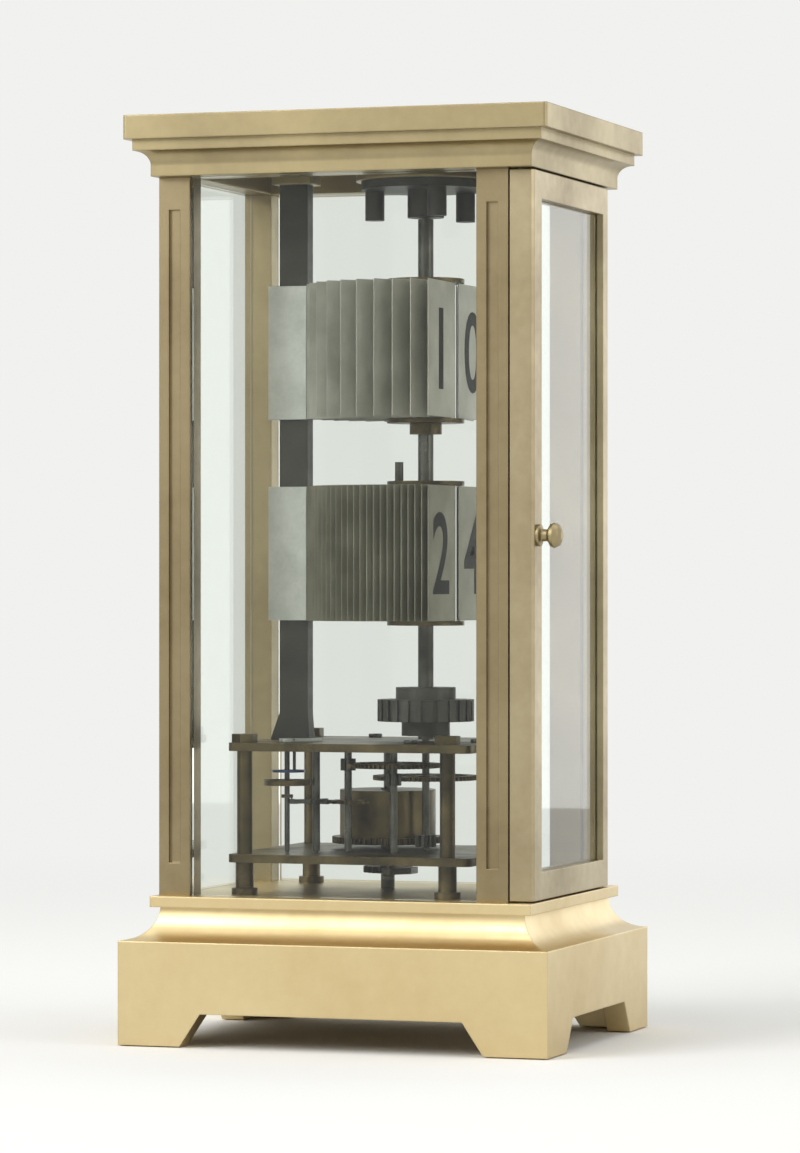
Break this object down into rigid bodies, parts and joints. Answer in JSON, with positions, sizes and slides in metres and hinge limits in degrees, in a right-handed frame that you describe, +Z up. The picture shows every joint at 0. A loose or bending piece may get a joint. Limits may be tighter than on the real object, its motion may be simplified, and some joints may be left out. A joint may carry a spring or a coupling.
{
  "type": "ticket clock",
  "caption": "Glazed brass case on a moulded plinth, with leaf drums on one upright arbor over a small spring movement and a hinged front door.",
  "frame": {"origin": "centre of the plinth footprint, on the surface the feet rest on", "axes": "+Z up, -Y out of the door on the narrow front, +X to the right seen from the door"},
  "size_m": [0.066, 0.082, 0.17],
  "materials": {
    "case_brass": "aged lacquered brass",
    "clear_glass": "clear bevelled glass",
    "steel": "turned steel",
    "dark_steel": "dark grey steel",
    "nickel": "dull nickel",
    "movement_brass": "tarnished brass",
    "blued_steel": "blued spring steel",
    "leaf_card": "thin ivory celluloid"
  },
  "bodies": {
    "case": {"base_plinth": "case_brass", "cornice": "case_brass", "pillar_front_left": "case_brass", "pillar_front_right": "case_brass", "pillar_rear_left": "case_brass", "pillar_rear_right": "case_brass", "glass_left": "clear_glass", "glass_right": "clear_glass", "glass_rear": "clear_glass", "hinge_pins": "steel", "top_bearing": "dark_steel", "rear_post": "dark_steel", "minute_brake": "nickel", "hour_brake": "nickel", "detent_post": "dark_steel", "minute_detent": "nickel", "hour_detent": "nickel", "low_plate": "movement_brass", "top_plate": "movement_brass", "movement_legs": "movement_brass", "frame_pillars": "movement_brass", "frame_nuts": "movement_brass", "click_screw": "steel", "hairspring": "blued_steel", "hairspring_stud": "steel"},
    "door": {"door_frame": "case_brass", "door_glass": "clear_glass", "door_knob": "case_brass"},
    "minute_drum": {"main_arbor": "steel", "drive_collar": "dark_steel", "minute_spool": "movement_brass", "minute_leaves": "leaf_card", "trip_pin": "steel", "hour_thrust_collar": "movement_brass", "centre_pinion": "steel", "centre_wheel": "movement_brass"},
    "minute_flip": {"minute_flip_leaf": "leaf_card"},
    "hour_drum": {"hour_spool": "movement_brass", "hour_leaves": "leaf_card"},
    "hour_flip": {"hour_flip_leaf": "leaf_card"},
    "barrel": {"spring_barrel": "movement_brass", "barrel_cover": "movement_brass", "mainspring": "blued_steel"},
    "winding": {"barrel_arbor": "steel", "ratchet_wheel": "steel", "winding_key": "movement_brass"},
    "click": {"click": "steel"},
    "third": {"third_arbor": "steel", "third_wheel": "movement_brass"},
    "escape": {"escape_arbor": "steel", "escape_wheel": "movement_brass"},
    "lever": {"lever_arbor": "steel", "pallet_lever": "steel"},
    "balance": {"balance_staff": "steel", "balance_wheel": "movement_brass"},
    "regulator": {"regulator_lever": "nickel"}
  },
  "joints": [
    {"name": "door_hinge", "type": "hinge", "parent": "case", "child": "door", "pos_m": [0.02275, -0.03375, 0], "axis": [0, 0, 1], "range_deg": [0, 110]},
    {"name": "minute_spin", "type": "hinge", "parent": "case", "child": "minute_drum", "pos_m": [0, -0.0075, 0], "axis": [0, 0, 1], "continuous": true},
    {"name": "minute_leaf_flip", "type": "hinge", "parent": "minute_drum", "child": "minute_flip", "pos_m": [0, -0.0139, 0], "axis": [0, 0, 1], "range_deg": [-178, 0]},
    {"name": "hour_spin", "type": "hinge", "parent": "case", "child": "hour_drum", "pos_m": [0, -0.0075, 0], "axis": [0, 0, 1], "continuous": true},
    {"name": "hour_leaf_flip", "type": "hinge", "parent": "hour_drum", "child": "hour_flip", "pos_m": [0, -0.0139, 0], "axis": [0, 0, 1], "range_deg": [-178, 0]},
    {"name": "barrel_spin", "type": "hinge", "parent": "case", "child": "barrel", "pos_m": [0.00683, 0.00225, 0], "axis": [0, 0, 1], "continuous": true},
    {"name": "winding_spin", "type": "hinge", "parent": "case", "child": "winding", "pos_m": [0.00683, 0.00225, 0], "axis": [0, 0, 1], "continuous": true},
    {"name": "click_lift", "type": "hinge", "parent": "case", "child": "click", "pos_m": [0.00006, -0.00021, 0], "axis": [0, 0, 1], "range_deg": [-15, 0]},
    {"name": "third_spin", "type": "hinge", "parent": "case", "child": "third", "pos_m": [-0.01043, -0.0047, 0], "axis": [0, 0, 1], "continuous": true},
    {"name": "escape_spin", "type": "hinge", "parent": "case", "child": "escape", "pos_m": [-0.00876, 0.00475, 0], "axis": [0, 0, 1], "continuous": true},
    {"name": "lever_swing", "type": "hinge", "parent": "case", "child": "lever", "pos_m": [-0.01098, 0.01022, 0], "axis": [0, 0, 1], "range_deg": [-3, 3]},
    {"name": "balance_swing", "type": "hinge", "parent": "case", "child": "balance", "pos_m": [-0.013, 0.01523, 0], "axis": [0, 0, 1], "range_deg": [-135, 135]},
    {"name": "regulator_swing", "type": "hinge", "parent": "case", "child": "regulator", "pos_m": [-0.013, 0.01523, 0.055], "axis": [0, 0, 1], "range_deg": [-25, 25]}
  ],
  "couplings": [
    {"joint": "hour_spin", "follows": "minute_spin", "ratio": 0.041667},
    {"joint": "barrel_spin", "follows": "minute_spin", "ratio": -0.16667},
    {"joint": "third_spin", "follows": "minute_spin", "ratio": -8},
    {"joint": "escape_spin", "follows": "minute_spin", "ratio": 56}
  ]
}
